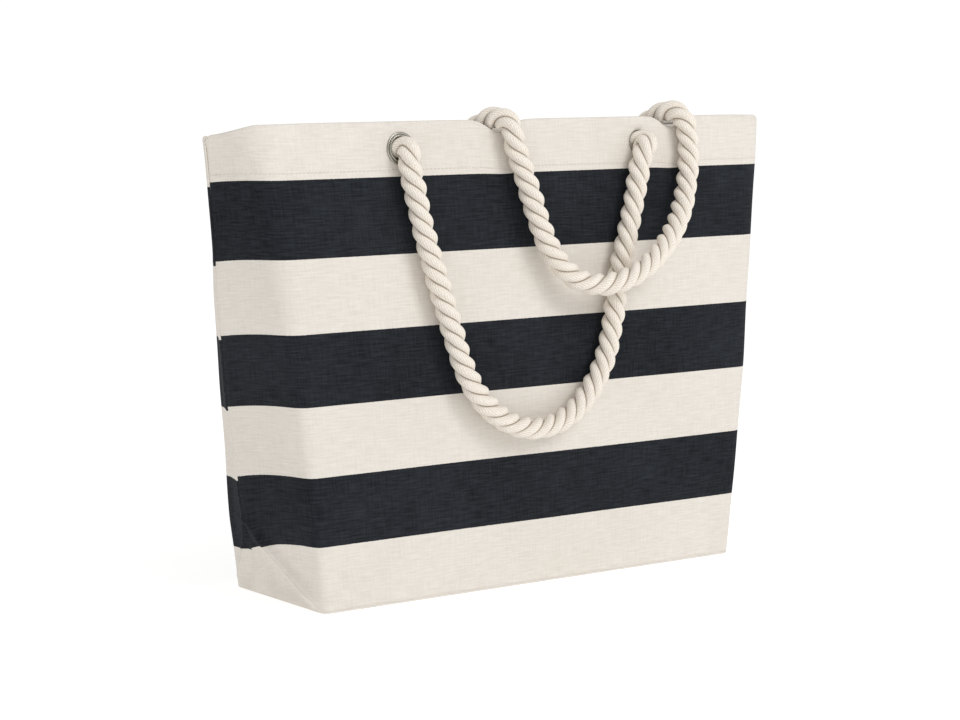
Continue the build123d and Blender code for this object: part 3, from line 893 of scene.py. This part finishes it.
class Handles:
    """Both rope handles, with their stopper knots and whipped tails inside the bag."""

    def __init__(self, places: dict[str, EyeletPlace], rope: LaidRope, finishes: Finishes) -> None:
        """Keeps what the handles are made from.

        Args:
            places: the four eyelets by label.
            rope: sizes of the rope.
            finishes: the materials.
        """
        self.places = places
        self.rope = rope
        self.finishes = finishes
        self.knot_face = 0.0041

    def front_route(self) -> list[tuple[float, float, float]]:
        """Control points of the front handle, from its left knot to its right one."""
        left, right = self.places["front_left"], self.places["front_right"]
        start = [left.on_axis(-self.knot_face), left.on_axis(0.004), left.on_axis(0.0105)]
        end = [right.on_axis(0.013), right.on_axis(0.005), right.on_axis(-self.knot_face)]
        loop = [
            (-0.1170, -0.0512, 0.3300), (-0.1140, -0.0545, 0.3110), (-0.1100, -0.0575, 0.2870),
            (-0.1040, -0.0600, 0.2640), (-0.0965, -0.0625, 0.2380), (-0.0885, -0.0650, 0.2120),
            (-0.0810, -0.0675, 0.1840), (-0.0680, -0.0695, 0.1570), (-0.0430, -0.0710, 0.1335),
            (-0.0130, -0.0720, 0.1235), (0.0170, -0.0715, 0.1285), (0.0410, -0.0700, 0.1450),
            (0.0610, -0.0680, 0.1710), (0.0710, -0.0655, 0.2000), (0.0770, -0.0630, 0.2300),
            (0.0855, -0.0605, 0.2580), (0.0950, -0.0580, 0.2850), (0.1030, -0.0555, 0.3110),
            (0.1085, -0.0530, 0.3300)]
        return [tuple(p) for p in start] + loop + [tuple(p) for p in end]

    def back_route(self) -> list[tuple[float, float, float]]:
        """Control points of the back handle: up behind, over the mouth, down in front."""
        left, right = self.places["back_left"], self.places["back_right"]
        start = [left.on_axis(-self.knot_face), left.on_axis(0.005), left.on_axis(0.015)]
        end = [right.on_axis(0.015), right.on_axis(0.005), right.on_axis(-self.knot_face)]
        loop = [
            (-0.1100, 0.0460, 0.3470), (-0.0920, 0.0430, 0.3500), (-0.0740, 0.0330, 0.3510),
            (-0.0570, 0.0190, 0.3500), (-0.0410, 0.0000, 0.3500), (-0.0310, -0.0180, 0.3570),
            (-0.0240, -0.0330, 0.3675), (-0.0190, -0.0490, 0.3630), (-0.0175, -0.0500, 0.3470),
            (-0.0110, -0.0530, 0.3270), (-0.0050, -0.0570, 0.3040), (0.0010, -0.0605, 0.2820),
            (0.0085, -0.0640, 0.2630), (0.0190, -0.0690, 0.2470), (0.0335, -0.0740, 0.2370),
            (0.0530, -0.0795, 0.2345), (0.0740, -0.0830, 0.2395), (0.0970, -0.0820, 0.2510),
            (0.1190, -0.0760, 0.2655), (0.1380, -0.0670, 0.2820), (0.1515, -0.0590, 0.3020),
            (0.1595, -0.0540, 0.3260), (0.1615, -0.0500, 0.3480), (0.1590, -0.0485, 0.3640),
            (0.1530, -0.0350, 0.3710), (0.1485, -0.0180, 0.3600), (0.1460, 0.0000, 0.3510),
            (0.1460, 0.0190, 0.3490), (0.1475, 0.0400, 0.3500), (0.1385, 0.0520, 0.3480),
            (0.1240, 0.0510, 0.3450)]
        return [tuple(p) for p in start] + loop + [tuple(p) for p in end]

    def build(self) -> None:
        knots = {label: self.build_knot(place) for label, place in self.places.items()}
        self.build_front()
        self.build_back()

    def build_front(self) -> None:
        """Front handle: one rope, which bends just outside its two eyelets.
        """
        path = evenly(spline_points("front_handle_line", self.front_route()), self.rope.ring_gap)
        rings, uv = self.rope.surface(path)
        handle = self.rope.mesh("front_handle", rings, uv)
        handle.data.materials.append(self.finishes.rope)
        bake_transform(handle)
        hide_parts("front_handle_left_stub", "front_handle_right_stub",
                    "front_handle_loop")
        log.info("front handle: %.0f mm of rope", line_length(path) / MM)

    def build_back(self) -> None:
        """Back handle: one rope in three stretches, cut half way over the mouth.
        """
        path = evenly(spline_points("back_handle_line", self.back_route()), self.rope.ring_gap)
        rings, uv = self.rope.surface(path, start_turn=0.9)
        cut_y, below_mouth = -0.014, 0.345
        away = np.abs(path[:, 1] - cut_y) + (path[:, 2] < below_mouth)
        half = len(path) // 2
        cut_left = int(np.argmin(away[:half]))
        cut_right = half + int(np.argmin(away[half:]))
        parts = [
            ("back_handle_left_end", 0, cut_left, ("back_handle_left_riser",
             "back_handle_left_bridge"), "back_left"),
            ("back_handle_loop_rope", cut_left, cut_right, ("back_handle_loop",), None),
            ("back_handle_right_end", cut_right, len(path) - 1, ("back_handle_right_riser",
             "back_handle_right_bridge"), "back_right")]
        for name, first, last, nodes, knot in parts:
            part = slice(first, last + 1)
            ends_right = knot == "back_right"
            piece = self.rope.mesh(name, rings[part], uv[part], caps=(first == 0, ends_right))
            piece.data.materials.append(self.finishes.rope)
            if knot is None:
                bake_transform(piece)
            else:
                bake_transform(piece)
            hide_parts(*nodes)

    def build_knot(self, place: EyeletPlace) -> list[bpy.types.Object]:
        """Overhand stopper knot with a whipped tail that hangs inside the bag.

        The knot's line is an open trefoil in the eyelet's plane: sin a + 2 sin 2a to the
        side, 2 cos 2a - cos a up and sin 3a outwards, then a straight tail down.

        Args:
            place: eyelet that the knot sits behind.

        Returns:
            The knot and its whipping.
        """
        right, up = place.across()
        axis = np.array(place.axis)
        outward = math.copysign(1.0, place.centre[0])
        middle = place.on_axis(-self.knot_face - 0.0145)
        a = np.linspace(0.10, 2 * math.pi - 0.25, 20)
        wide, deep = 0.0047, 0.0052
        loops = (middle + right * (outward * wide * (np.sin(a) + 2 * np.sin(2 * a)))[:, None]
                 + up * (-wide * (np.cos(a) - 2 * np.cos(2 * a)))[:, None]
                 + axis * (deep * np.sin(3 * a))[:, None])
        entry = [place.on_axis(-self.knot_face + 0.004), place.on_axis(-self.knot_face - 0.002)]
        low = middle + right * outward * 0.006
        tail = [low + np.array([0, 0, -0.018]), low + np.array([0, 0, -0.034]),
                low + np.array([0, 0, -0.050])]
        route = [tuple(p) for p in [*entry, *loops, *tail]]
        path = evenly(spline_points(place.label + "_knot_line", route), 0.0016)
        rings, uv = self.rope.surface(path, squeeze=0.86)
        knot = self.rope.mesh(place.label + "_stopper_knot", rings, uv)
        knot.data.materials.append(self.finishes.rope)
        whipping = self.build_whipping(place, path)
        for piece, node in ((knot, "_knot"), (whipping, "_whipping")):
            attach(piece, "bag")
            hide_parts(place.label + node)
        log.info("%s knot and whipping", place.label)
        return [knot, whipping]

    def build_whipping(self, place: EyeletPlace, path: np.ndarray) -> bpy.types.Object:
        """Thread wound round a tail's end.

        The surface is a sleeve whose radius is a row of half rounds, one a turn of
        thread, shifted along with the angle so that the turns are a helix.

        Args:
            place: eyelet whose tail it is.
            path: centreline of the knot and its tail.

        Returns:
            The whipping.
        """
        length, thread, turns = 0.011, 0.0011, 10
        end = path[-1]
        along = np.linspace(0, 1, turns * 8 + 1)
        angle = np.linspace(0, 2 * math.pi, 40, endpoint=False)
        s, a = np.meshgrid(along, angle, indexing="ij")
        wave = np.abs(np.sin(math.pi * (s * turns + a / (2 * math.pi))))
        close = np.minimum(np.minimum(s, 1 - s) * turns, 1.0)
        radius = (self.rope.diameter / 2 * 0.86 - 0.0006 + thread * 0.55 * wave) * close ** 0.25
        radius = np.where(close <= 0, self.rope.diameter / 2 * 0.80, radius)
        z = end[2] + 0.004 + s * length
        points = np.stack([end[0] + radius * np.cos(a), end[1] + radius * np.sin(a), z], -1)
        piece = put_mesh(place.label + "_tail_whipping", points.reshape(-1, 3),
                         grid_faces(len(along), len(angle), closed=True))
        piece.data.materials.append(self.finishes.thread)
        return piece


# ------------------------------------------------------------------ cloth pieces

class CanvasBody:
    """Panels, hems, base, seam allowances and stitching of the bag."""

    def __init__(self, shape: BagShape, places: dict[str, EyeletPlace], finishes: Finishes) -> None:
        """Keeps what the cloth pieces are made from.

        Args:
            shape: surface of the bag.
            places: the four eyelets by label.
            finishes: the materials.
        """
        self.shape = shape
        self.places = places
        self.finishes = finishes
        self.canvas = 0.0012
        self.fold = 0.0015
        self.hem_low = 0.3255
        self.hem_end = 1.93
        self.hole = 0.0103

    def cloth_map(self, points: np.ndarray, t: np.ndarray, z: np.ndarray,
                  face: Face) -> np.ndarray:
        """Map position on the cloth: length round the row across, and height up.

        Args:
            points: (rows, columns, 3) grid.
            t: (columns,) position round the half.
            z: (rows, columns) height.
            face: half of the bag.

        Returns:
            (rows, columns, 2) map positions in metres.
        """
        row = points[len(points) // 2]
        run = np.concatenate([[0], np.cumsum(np.linalg.norm(np.diff(row, axis=0), axis=1))])
        run = run - run[-1] / 2
        return np.stack([np.broadcast_to(run, z.shape), z + self.shape.sag(t, z, face)], -1)

    def punch(self, points: np.ndarray, faces: np.ndarray,
              face: Face) -> tuple[np.ndarray, np.ndarray, np.ndarray]:
        """Opens the two eyelet holes in a sheet.

        Faces inside a hole go, and the vertices left on their edge are drawn to its circle.

        Args:
            points: (n, 3) positions.
            faces: (m, 4) indices.
            face: half of the bag.

        Returns:
            The positions left, the faces left, and which of the vertices were kept.
        """
        points = points.copy()
        for place in self.places.values():
            if place.face is not face:
                continue
            right, up = place.across()
            rel = points - np.array(place.centre)
            x, y = rel @ right, rel @ up
            away = np.hypot(x, y)
            near = np.abs(rel @ np.array(place.axis)) < 0.012
            inside = near & (away < self.hole + 0.0006)
            gone = inside[faces].all(1)
            edge = np.intersect1d(faces[gone].ravel(), faces[~gone].ravel())
            grow = np.where(away[edge] > 1e-6, self.hole / np.maximum(away[edge], 1e-6), 1.0)
            shift = (grow - 1)[:, None] * (x[edge, None] * right + y[edge, None] * up)
            points[edge] += shift
            faces = faces[~gone]
        used, inverse = np.unique(faces.ravel(), return_inverse=True)
        return points[used], inverse.reshape(faces.shape), used

    def build_panel(self, face: Face) -> None:
        """One panel: foot or gusset edge up to the rim, and over the fold of the hem.

        Args:
            face: front or back.
        """
        t = self.shape.columns()
        rows = 118
        v = np.linspace(0, 1, rows)[:, None]
        low, top = self.shape.edge_low(t)[None, :], self.shape.rim(t, face)[None, :] - self.fold
        z = low + (top - low) * v
        outer = self.shape.point(t[None, :], z, face)
        bend = np.linspace(0, math.pi, 7)[1:, None]
        z_roll = top + self.fold * np.sin(bend)
        short = np.clip(t, -self.hem_end, self.hem_end)
        roll = np.stack([self.shape.point(t + (short - t) * (1 - math.cos(b)) / 2, z_roll[i], face,
                                          self.fold * (1 - math.cos(b)))
                         for i, b in enumerate(bend[:, 0])])
        z_in = top - np.array([0.002, 0.004])[:, None]
        inner = self.shape.point(short[None, :], np.broadcast_to(z_in, (2, len(t))), face,
                                 2 * self.fold)
        grid = np.concatenate([outer, roll, inner])
        height = np.concatenate([z, np.broadcast_to(top + self.fold * bend, (6, len(t))),
                                 2 * (top + self.fold * 2) - z_in])
        uv = self.cloth_map(grid, t, height, face).reshape(-1, 2)
        faces = grid_faces(len(grid), len(t), flip=face is Face.BACK)
        points, faces, kept = self.punch(grid.reshape(-1, 3), faces, face)
        name = face.name.lower()
        piece = put_mesh(name + "_canvas", points, faces, uv[kept])
        piece.data.materials.append(
            self.finishes.front_canvas if face is Face.FRONT else self.finishes.back_canvas)
        piece.data.materials.append(self.finishes.lining)
        thicken(piece, self.canvas, 1)
        self.settle(piece, "striped_canvas", name + "_panel")
        log.info("%s panel: %d vertices", name, len(points))

    def settle(self, piece: bpy.types.Object, slot: str, *nodes: str) -> None:
        """Fixes a cloth piece to the bag, in place of its CAD nodes."""
        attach(piece, "bag")
        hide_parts(*nodes)

    def hem_edge(self, t: np.ndarray, face: Face) -> np.ndarray:
        """Height of the hem's raw edge: level, and behind it follows the rim under a rope."""
        return self.hem_low - self.shape.follow(face) * self.shape.pressed(t, face)

    def build_hem(self, face: Face) -> None:
        """Turned-in layer of the hem, from the fold down to its raw edge.

        Args:
            face: front or back.
        """
        t = np.unique(np.clip(self.shape.columns(), -self.hem_end, self.hem_end))
        v = np.linspace(0, 1, 20)[:, None]
        top = (self.shape.rim(t, face) - self.fold - 0.004)[None, :]
        z = top + (self.hem_edge(t, face) - top) * v
        inset = 2 * self.fold
        grid = np.stack([self.shape.point(t, z[i], face, inset) for i in range(len(v))])
        uv = self.cloth_map(grid, t, np.broadcast_to(z, grid.shape[:2]), face).reshape(-1, 2)
        faces = grid_faces(len(grid), len(t), flip=face is Face.BACK)
        points, faces, kept = self.punch(grid.reshape(-1, 3), faces, face)
        name = face.name.lower()
        piece = put_mesh(name + "_hem_layer", points, faces, uv[kept])
        piece.data.materials.append(self.finishes.plain_canvas)
        thicken(piece, self.canvas)
        self.settle(piece, "plain_canvas", name + "_hem")
        log.info("%s hem", name)

    def build_base(self) -> None:
        """Base with its rounded foot and the two folded ends up to the side seams."""
        shape = self.shape
        t_front = shape.columns()
        ring_t = np.concatenate([t_front, t_front[-2:0:-1]])
        is_front = np.concatenate([np.ones(len(t_front), bool), np.zeros(len(t_front) - 2, bool)])

        def ring(z: np.ndarray, inset: float) -> np.ndarray:
            """One closed ring on the bag's surface at heights z."""
            front = shape.point(ring_t, z, Face.FRONT, inset)
            back = shape.point(ring_t, z, Face.BACK, inset)
            return np.where(is_front[:, None], front, back)

        low = shape.edge_low(ring_t)
        rows, heights = [], []
        for up in (0.007, 0.0008):
            rows.append(ring(low + up, self.canvas + 0.0002))
            heights.append(low + up)
        for share in np.linspace(1, 0, 12):
            z = shape.foot + (low - shape.foot) * share
            rows.append(ring(z, 0.0))
            heights.append(z)
        for angle in np.linspace(0, math.pi / 2, 6)[1:]:
            z = np.full_like(low, shape.foot * (1 - math.sin(angle)))
            rows.append(ring(z + 1e-5, shape.foot * (1 - math.cos(angle))))
            heights.append(-shape.foot * angle + 0 * z)
        edge = rows[-1]
        spine = np.stack([np.clip(edge[:, 0], -0.150, 0.150), 0 * low, 0 * low], -1)
        for share in np.linspace(0, 1, 12)[1:]:
            rows.append(edge + (spine - edge) * share)
            heights.append(-0.01 - 0.05 * share + 0 * low)
        grid = np.stack(rows)
        run = np.cumsum(np.linalg.norm(np.diff(edge, axis=0, append=edge[:1]), axis=1))
        heights = np.stack(heights)
        sag = np.where(is_front, shape.sag(ring_t, heights, Face.FRONT),
                       shape.sag(ring_t, heights, Face.BACK) + 0.0018)
        heights = heights + sag * (heights > 0)
        uv = np.stack([np.broadcast_to(run, grid.shape[:2]), heights], -1)
        faces = grid_faces(len(grid), len(ring_t), closed=True, flip=True)
        piece = put_mesh("base_with_gussets", grid.reshape(-1, 3), faces, uv.reshape(-1, 2))
        merge_doubles(piece, 2e-5)
        piece.data.materials.append(self.finishes.front_canvas)
        piece.data.materials.append(self.finishes.lining)
        thicken(piece, self.canvas, 1)
        self.settle(piece, "striped_canvas", "base_panel")
        log.info("base")

    def build_allowances(self) -> None:
        """Seam allowances inside: two raw edges side by side along each seam."""
        shape = self.shape
        z = np.linspace(0.068, 0.322, 90)[:, None]
        across = np.linspace(0, 1, 7)[None, :]
        for label, side in (("left", -1), ("right", 1)):
            layers = []
            for face in Face:
                seam = shape.point(np.full_like(z, 1.995 * side), z, face, self.canvas)
                width = 0.0105 + 0.0006 * np.sin(z * 160 + face.value)
                x = seam[..., 0] - side * across * width
                y = seam[..., 1] + face.value * (0.0008 + 0.0012 * across ** 2
                                                 * (1 + 0.6 * np.sin(z * 90)))
                layers.append(np.stack([x, y + 0 * x, z + 0 * x], -1))
            points = np.concatenate([g.reshape(-1, 3) for g in layers])
            one = len(z) * across.size
            faces = np.concatenate([grid_faces(len(z), across.size, flip=side > 0),
                                    grid_faces(len(z), across.size, flip=side < 0) + one])
            uv = np.concatenate([np.stack([g[..., 0], g[..., 2]], -1).reshape(-1, 2)
                                 for g in layers])
            piece = put_mesh(label + "_seam_edges", points, faces, uv)
            piece.data.materials.append(self.finishes.plain_canvas)
            thicken(piece, 0.0007)
            self.settle(piece, "plain_canvas", label + "_side_allowance")
        for face in Face:
            x = np.linspace(-0.178, 0.178, 120)[None, :]
            s = np.linspace(0, 1, 7)[:, None]
            y = face.value * (0.0578 - 0.011 * s + 0.0005 * np.sin(x * 150))
            z = 0.0022 + 0.0011 * s * (1 + 0.5 * np.sin(x * 70 + face.value)) + 0.0003
            grid = np.stack([x + 0 * y, y + 0 * x, z + 0 * y], -1)
            piece = put_mesh(face.name.lower() + "_base_seam_edge", grid.reshape(-1, 3),
                             grid_faces(7, 120, flip=face is Face.FRONT),
                             np.stack([grid[..., 0], grid[..., 1]], -1).reshape(-1, 2))
            piece.data.materials.append(self.finishes.plain_canvas)
            thicken(piece, 0.0009)
            self.settle(piece, "plain_canvas", face.name.lower() + "_base_allowance")
        log.info("seam allowances")

    def stitch_row(self, name: str, path: np.ndarray, normal: np.ndarray) -> None:
        """Row of short stitches, each a flattened capsule half sunk in the cloth.

        Args:
            name: object name.
            path: (n, 3) line that the row follows.
            normal: (3,) outward direction.
        """
        pitch, length, half = 0.0036, 0.0026, 0.00026
        line = evenly(path, pitch)
        middle = (line[1:] + line[:-1]) / 2
        along = np.diff(line, axis=0)
        along /= np.linalg.norm(along, axis=1, keepdims=True)
        across = np.cross(along, normal)
        across /= np.linalg.norm(across, axis=1, keepdims=True)
        out = np.cross(across, along)
        s = np.linspace(-1, 1, 5)
        a = np.linspace(0, 2 * math.pi, 6, endpoint=False)
        fat = np.sqrt(np.maximum(1 - s ** 4, 0.05))
        ring = (middle[:, None, None, :]
                + (s * length / 2)[None, :, None, None] * along[:, None, None, :]
                + (half * fat[:, None] * np.cos(a))[None, :, :, None] * across[:, None, None, :]
                + (half * fat[:, None] * (np.sin(a) + 0.35))[None, :, :, None]
                * out[:, None, None, :])
        one = len(s) * len(a)
        body = grid_faces(len(s), len(a), closed=True)
        starts = (np.arange(len(middle)) * one)[:, None, None]
        faces = (body[None] + starts).reshape(-1, 4).tolist()
        first, last = np.arange(len(a)), (len(s) - 1) * len(a) + np.arange(len(a))
        faces += [tuple(f) for f in (first[::-1][None] + starts[:, 0])]
        faces += [tuple(f) for f in (last[None] + starts[:, 0])]
        piece = put_mesh(name, ring.reshape(-1, 3), faces)
        piece.data.materials.append(self.finishes.thread)
        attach(piece, "bag")

    def build_stitching(self) -> None:
        """Hem stitching outside and inside, round both halves."""
        t = self.shape.columns()
        for face in Face:
            z = self.hem_edge(t, face) + 0.0028
            if face is Face.FRONT:
                z = z - self.shape.sag(t, z, face)
            name = face.name.lower()
            normal = np.array([0.0, face.value, 0.0])
            self.stitch_row(name + "_hem_stitches", self.shape.point(t, z, face, -0.0001), normal)
            inner = self.shape.point(t, z, face, 2 * self.fold + 0.0001)
            self.stitch_row(name + "_hem_stitches_inside", inner, -normal)
        log.info("hem stitching")

    def build(self) -> None:
        """Builds every cloth piece."""
        for face in Face:
            self.build_panel(face)
            self.build_hem(face)
        self.build_base()
        self.build_allowances()
        self.build_stitching()


# ------------------------------------------------------------------ metal pieces

class Eyelets:
    """Four pressed eyelets with a rolled rim, each with its washer inside the bag."""

    def __init__(self, places: dict[str, EyeletPlace], finishes: Finishes) -> None:
        """Keeps the places and the materials."""
        self.places = places
        self.finishes = finishes

    def revolve(self, name: str, place: EyeletPlace, profile: np.ndarray) -> bpy.types.Object:
        """Ring made by turning a closed profile about an eyelet's axis.

        Args:
            name: object name.
            place: eyelet.
            profile: (n, 2) radius and distance along the axis.

        Returns:
            The ring.
        """
        right, up = place.across()
        axis = np.array(place.axis)
        a = np.linspace(0, 2 * math.pi, 96, endpoint=False)
        spoke = np.cos(a)[:, None] * right + np.sin(a)[:, None] * up
        points = (np.array(place.centre)
                  + profile[None, :, 0, None] * spoke[:, None, :]
                  + profile[None, :, 1, None] * axis)
        count = len(profile)
        i, j = np.meshgrid(np.arange(len(a)), np.arange(count), indexing="ij")
        i2, j2 = (i + 1) % len(a), (j + 1) % count
        faces = np.stack([i * count + j, i2 * count + j, i2 * count + j2, i * count + j2],
                         -1).reshape(-1, 4)
        turn = np.dot(np.cross(right, up), axis)
        area = np.sum(profile[:, 0] * np.roll(profile[:, 1], -1)
                      - np.roll(profile[:, 0], -1) * profile[:, 1])
        if turn * area > 0:
            faces = faces[:, ::-1]
        piece = put_mesh(name, points.reshape(-1, 3), faces)
        piece.data.materials.append(self.finishes.metal)
        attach(piece, "bag")
        return piece

    def build(self) -> None:
        """Builds the eyelets and washers."""
        crown = np.linspace(math.pi, 0, 13)
        bead = np.linspace(math.pi * 0.9, 0, 9)
        profile = np.concatenate([
            [(9.25, -3.9), (9.25, -0.2)],
            np.stack([10.05 + 0.8 * np.cos(crown), 0.5 + 1.0 * np.sin(crown)], -1),
            np.stack([11.85 + 0.95 * np.cos(bead), 0.25 + 0.8 * np.sin(bead)], -1),
            [(12.8, 0.0), (9.9, 0.0), (9.9, -3.2), (11.2, -3.2), (11.2, -3.9)]]) * MM
        ring = np.array([(10.0, -2.4), (12.75, -2.4), (12.75, -3.0), (12.5, -3.2), (10.0, -3.2)]) * MM
        for label, place in self.places.items():
            eyelet = self.revolve(label + "_eyelet_ring", place, profile)
            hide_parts(label + "_eyelet")
            washer = self.revolve(label + "_washer_ring", place, ring)
            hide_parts(label + "_washer")
            log.info("%s eyelet", label)


# ------------------------------------------------------------------ studio

class Studio:
    """Pale floor, soft light and the camera."""

    def build(self) -> None:
        """Builds the floor, the lights, the world and the camera."""
        self.build_floor()
        self.build_lights()
        self.build_camera()

    def build_floor(self) -> None:
        """White sweep, plain and matt."""
        mat = new_material("white_studio_paper", {
            "Base Color": (0.66, 0.66, 0.66, 1.0), "Roughness": 1.0, "Specular IOR Level": 0.0,
            "Emission Color": (1.0, 1.0, 1.0, 1.0), "Emission Strength": 0.60})[0]
        size = 30.0
        floor = put_mesh("studio_floor", np.array(
            [(-size, -size, 0), (size, -size, 0), (size, size, 0), (-size, size, 0)], float),
            [(0, 1, 2, 3)])
        floor.data.materials.append(mat)

    def light(self, name: str, place: tuple, aim: tuple, size: float, power: float) -> None:
        """Square area light.

        Args:
            name: object name.
            place: where it hangs.
            aim: what it points at.
            size: side length in metres.
            power: watts.
        """
        lamp = bpy.data.lights.new(name, "AREA")
        lamp.shape = "SQUARE"
        lamp.size = size
        lamp.energy = power
        obj = bpy.data.objects.new(name, lamp)
        bpy.context.scene.collection.objects.link(obj)
        obj.location = place
        obj.rotation_euler = (Vector(aim) - Vector(place)).to_track_quat("-Z", "Y").to_euler()

    def build_lights(self) -> None:
        """One soft key from above in front, in a bright white room."""
        world = bpy.data.worlds.new("white_room")
        bpy.context.scene.world = world
        world.use_nodes = True
        world.node_tree.nodes["Background"].inputs["Color"].default_value = (1, 1, 1, 1)
        tree = world.node_tree
        seen = add_node(tree, "ShaderNodeLightPath").outputs["Is Camera Ray"]
        strength = add_node(tree, "ShaderNodeMapRange", {"Value": seen},
                            {"To Min": 0.67, "To Max": 1.05}).outputs[0]
        tree.links.new(strength, tree.nodes["Background"].inputs["Strength"])
        self.light("key", (0.5, -2.1, 2.0), (0, 0, 0.2), 1.2, 26.0)
        bpy.context.scene.view_settings.view_transform = "Standard"
        bpy.context.scene.view_settings.look = "None"

    def build_camera(self) -> None:
        """Long lens from the left in front, a little above the rim."""
        azimuth, elevation, roll = (math.radians(a) for a in (-36.904, 7.110, 0.279))
        back = Vector((math.sin(azimuth) * math.cos(elevation),
                       -math.cos(azimuth) * math.cos(elevation), math.sin(elevation)))
        right = Vector((0, 0, 1)).cross(back).normalized()
        up = back.cross(right)
        side = right * math.cos(roll) + up * math.sin(roll)
        top = up * math.cos(roll) - right * math.sin(roll)
        data = bpy.data.cameras.new("camera")
        data.sensor_width = 36.0
        data.lens = 98.65
        data.clip_end = 200.0
        camera = bpy.data.objects.new("camera", data)
        bpy.context.scene.collection.objects.link(camera)
        target = Vector((-0.01171, 0.0, 0.17173))
        place = target + back * 2.10305
        camera.matrix_world = Matrix((
            (side.x, top.x, back.x, place.x), (side.y, top.y, back.y, place.y),
            (side.z, top.z, back.z, place.z), (0, 0, 0, 1)))
        bpy.context.scene.camera = camera


# ------------------------------------------------------------------ assembly


def main() -> None:
    """Builds the bag and the studio round it."""
    logging.basicConfig(level=logging.INFO, format="%(name)s: %(message)s")
    finishes = Finishes()
    places = {f"{face.name.lower()}_{hand}": EyeletPlace.read(f"{face.name.lower()}_{hand}", face)
              for face in Face for hand in ("left", "right")}
    Studio().build()
    Handles(places, LaidRope(), finishes).build()
    CanvasBody(BagShape(), places, finishes).build()
    Eyelets(places, finishes).build()


if __name__ == "__main__":
    main()
